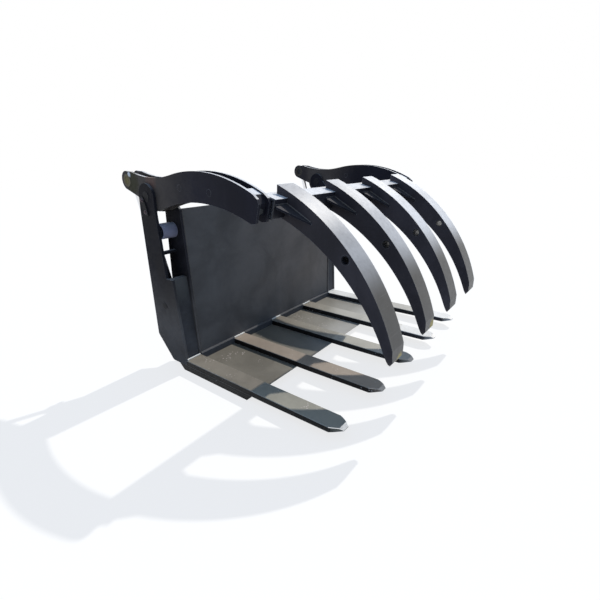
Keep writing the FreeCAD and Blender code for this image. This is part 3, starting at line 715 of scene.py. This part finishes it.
def frame_seams():
    """The side plates' seams in front, and those of the ribs and lugs behind the back plate."""
    low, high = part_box("back_plate")
    y = low.y - FINE_BEAD_OUT * FINE_BEAD
    paths = []
    for x in (low.x + FINE_BEAD, high.x - FINE_BEAD):
        paths.append([(x, y, SEAM_FOOT), (x, y, high.z - FINE_BEAD)])
    standing = [(x, RIB_THICK, RIB_SPAN) for x in RIB_PLACES]
    standing += [(x, LUG_THICK, LOWER_LUG_SPAN) for x in LOWER_LUG_PLACES]
    standing += [(x, LUG_THICK, UPPER_LUG_SPAN) for x in UPPER_LUG_PLACES]
    for middle, thick, (foot, top) in standing:
        for x in (middle - thick / 2, middle + thick / 2):
            paths.append([(x, high.y, foot), (x, high.y, top)])
    return paths


def gusset_seams():
    """Where the gussets meet the claws' sides and the tube's front."""
    slope = math.radians(GUSSET_SLOPE)
    rear, front = [(TUBE_MIDDLE[0] - run * math.cos(slope), GUSSET_TOP - run * math.sin(slope))
                   for run in GUSSET_SEAM]
    paths = []
    for number in range(1, CLAW_COUNT + 1):
        low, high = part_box(f"claw_{number}")
        for x, outer in ((low.x, low.x - GUSSET_WIDTH), (high.x, high.x + GUSSET_WIDTH)):
            paths.append([(x, *rear), (x, *front)])
            paths.append([(x, *rear), (outer, *rear)])
    return paths


def tube_seams():
    """Where the cross tube's ends meet the arms' inner plates."""
    tilt = math.radians(TUBE_TILT)
    corners = []
    for y, z in ((-1, -1), (1, -1), (1, 1), (-1, 1), (-1, -1)):
        corners.append((TUBE_MIDDLE[0] + TUBE_HALF * (y * math.cos(tilt) - z * math.sin(tilt)),
                        TUBE_MIDDLE[1] + TUBE_HALF * (y * math.sin(tilt) + z * math.cos(tilt))))
    low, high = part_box("cross_tube")
    return [[(x, y, z) for y, z in corners] for x in (low.x + FINE_BEAD, high.x - FINE_BEAD)]


def set_camera():
    """Puts the camera where the photograph was taken from."""
    yaw, pitch, roll = (math.radians(angle) for angle in (CAMERA_YAW, CAMERA_PITCH, CAMERA_ROLL))
    reach = math.cos(pitch)
    forward = Vector((math.sin(yaw) * reach, math.cos(yaw) * reach, -math.sin(pitch)))
    level = Vector((math.cos(yaw), -math.sin(yaw), 0.0))
    above = level.cross(forward)
    right = level * math.cos(roll) + above * math.sin(roll)
    up = above * math.cos(roll) - level * math.sin(roll)
    turn = Matrix((right, up, -forward)).transposed().to_4x4()
    data = bpy.data.cameras.new("camera")
    data.sensor_fit = "HORIZONTAL"
    data.sensor_width = CAMERA_SENSOR
    data.lens = CAMERA_LENS
    data.shift_y = (PHOTO_AXIS_ROW - PHOTO_SIDE / 2) / PHOTO_SIDE
    data.clip_start = CAMERA_NEAR
    camera = bpy.data.objects.new("camera", data)
    camera.matrix_world = Matrix.Translation(CAMERA_PLACE) @ turn
    bpy.context.collection.objects.link(camera)
    bpy.context.scene.camera = camera


def coloured(tree, kind, colour):
    """A new shader node with a colour."""
    node = tree.nodes.new("ShaderNode" + kind)
    node.inputs["Color"].default_value = opaque(colour)
    return node


def seen_directly(tree):
    """1 for camera, glossy and transmission rays, and 0 for the diffuse ones."""
    rays = tree.nodes.new("ShaderNodeLightPath")
    total = rays.outputs["Is Camera Ray"]
    for name in ("Is Glossy Ray", "Is Transmission Ray"):
        more = tree.nodes.new("ShaderNodeMath")
        more.operation = "MAXIMUM"
        tree.links.new(total, more.inputs[0])
        tree.links.new(rays.outputs[name], more.inputs[1])
        total = more.outputs[0]
    return total


def show(tree, output, lighting, seen):
    """Gives the output one shader for the light that it sends out and another one where it is seen."""
    choose = tree.nodes.new("ShaderNodeMixShader")
    tree.links.new(seen_directly(tree), choose.inputs[0])
    tree.links.new(lighting.outputs[0], choose.inputs[1])
    tree.links.new(seen.outputs[0], choose.inputs[2])
    tree.links.new(choose.outputs[0], tree.nodes.new(output).inputs["Surface"])


def set_light():
    """A sun from the part's right, and a plain sky that is white where it is seen."""
    data = bpy.data.lights.new("sun", "SUN")
    data.energy = SUN_STRENGTH
    data.color = SUN_COLOUR
    data.angle = math.radians(SUN_ANGLE)
    sun = bpy.data.objects.new("sun", data)
    sun.rotation_euler = Vector(SUN_TRAVEL).to_track_quat("-Z", "Y").to_euler()
    bpy.context.collection.objects.link(sun)
    world = bpy.data.worlds.new("sky")
    world.use_nodes = True
    tree = world.node_tree
    tree.nodes.clear()
    dim = coloured(tree, "Background", SKY_COLOUR)
    dim.inputs["Strength"].default_value = SKY_STRENGTH
    show(tree, "ShaderNodeOutputWorld", dim, coloured(tree, "Background", WHITE))
    bpy.context.scene.world = world


def set_floor():
    """A plain pale floor that keeps a light shadow of the part."""
    h = FLOOR_HALF
    mesh = bpy.data.meshes.new("floor")
    mesh.from_pydata([(-h, -h, 0.0), (h, -h, 0.0), (h, h, 0.0), (-h, h, 0.0)], [], [(0, 1, 2, 3)])
    floor = bpy.data.objects.new("floor", mesh)
    bpy.context.collection.objects.link(floor)
    material = bpy.data.materials.new("pale_floor")
    material.use_nodes = True
    tree = material.node_tree
    tree.nodes.clear()
    glow = coloured(tree, "Emission", WHITE)
    glow.inputs["Strength"].default_value = FLOOR_GLOW
    lit = tree.nodes.new("ShaderNodeAddShader")
    tree.links.new(glow.outputs[0], lit.inputs[0])
    tree.links.new(coloured(tree, "BsdfDiffuse", FLOOR_SHADE).outputs[0], lit.inputs[1])
    show(tree, "ShaderNodeOutputMaterial", coloured(tree, "BsdfDiffuse", FLOOR_BOUNCE), lit)
    mesh.materials.append(material)


# The CAD model's own pieces.
finish = make_finishes()
dress(both("outer_side_plate") + both("inner_side_plate"), finish["side_paint"])
dress(["tie_bars", "rear_beam", "back_ribs", "upper_lugs"] + both("lower_lugs"), finish["side_paint"])
dress(both("front_cover"), finish["cover_paint"])
dress(["back_plate"], finish["back_paint"])
dress(["toe_strips"], finish["toe_paint"])
dress(["upper_cross_member"], finish["tube_paint"])
dress(both("arm_outer_plate") + both("arm_inner_plate") + ["arm_spacers"], finish["arm_paint"])
dress(["arm_nose_blocks"], finish["nose_paint"])
dress(["arm_hubs", "cross_tube"], finish["tube_top_paint"])
dress(["claw_gussets"], finish["gusset_paint"])
dress(["claw_sleeves"], finish["sleeve_paint"])
dress(["floor_plate", "lip_bar", "rear_sill", "floor_runners"], finish["floor_finish"])
dress(["pivot_pins", "pin_keepers", "ear_pins", "foot_pin_ends"], finish["pin_finish"])
dress(both("foot_pin"), finish["pin_finish"])
dress(["keeper_bolts"], finish["keeper_bolt_finish"])
dress(["nose_bolts"], finish["bolt_finish"])
dress(["lug_bushes", "ear_bushes"], finish["bush_finish"])
dress(both("cylinder_rod"), finish["chrome_finish"])
for part in ("cylinder_barrel", "cylinder_gland", "cylinder_piston"):
    dress(both(part), finish["cylinder_paint"])

# The pieces that replace or join them.
for number in range(1, TINE_COUNT + 1):
    tine(f"tine_{number}", finish["tine_finish"], finish["tip_finish"])
for number in range(1, CLAW_COUNT + 1):
    claw(f"claw_{number}", finish["claw_paint"])
root_beads = weld("tine_root_beads", root_seams(), ROOT_BEAD, finish["root_weld_and_highlight_finish"], "frame")
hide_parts("tine_root_welds")
weld("frame_beads", frame_seams(), FINE_BEAD, finish["bead_paint"], "frame")
weld("clamp_beads", gusset_seams() + tube_seams(), FINE_BEAD, finish["bead_paint"], "clamp")

# Floor, light and view.
set_floor()
set_light()
set_camera()
bpy.context.scene.view_settings.view_transform = "Standard"
